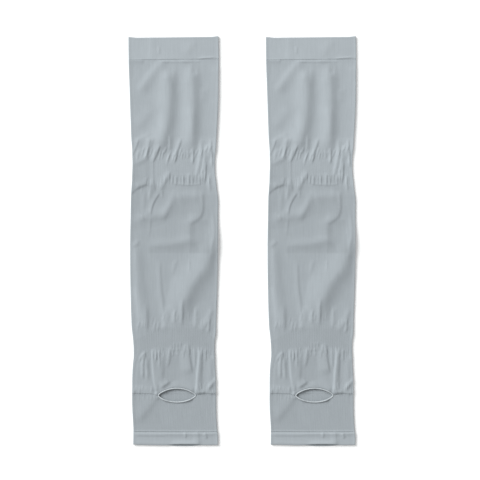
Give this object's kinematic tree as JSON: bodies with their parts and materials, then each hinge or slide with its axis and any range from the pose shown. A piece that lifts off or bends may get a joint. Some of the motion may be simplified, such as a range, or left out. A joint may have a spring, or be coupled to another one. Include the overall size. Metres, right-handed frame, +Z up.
{
  "type": "pair of arm sleeves",
  "caption": "Knitted arm sleeves laid flat side by side: elastic tubes from hand to upper arm, each with a turned welt, a hand cuff and a bound thumb hole.",
  "frame": {"origin": "centre of the pair on the surface that it lies on, at the middle of the sleeves' length", "axes": "+X from the left sleeve to the right one, +Y along the sleeves from the hand hems to the upper-arm welts, +Z up from the surface"},
  "size_m": [0.2234, 0.4, 0.0049],
  "materials": {
    "jersey": "fine nylon and elastane circular knit, matt with a faint sheen, pale blue grey",
    "turned_welt": "the same knit in two plies, smoother and a little paler",
    "binding": "fine overcast stitching round a rolled edge, pale grey"
  },
  "bodies": {
    "root": {"left_welt": "turned_welt", "left_arm_tube": "jersey", "left_hand_cuff": "jersey", "left_hem": "turned_welt", "left_thumb_binding": "binding", "right_welt": "turned_welt", "right_arm_tube": "jersey", "right_hand_cuff": "jersey", "right_hem": "turned_welt", "right_thumb_binding": "binding"}
  },
  "joints": []
}
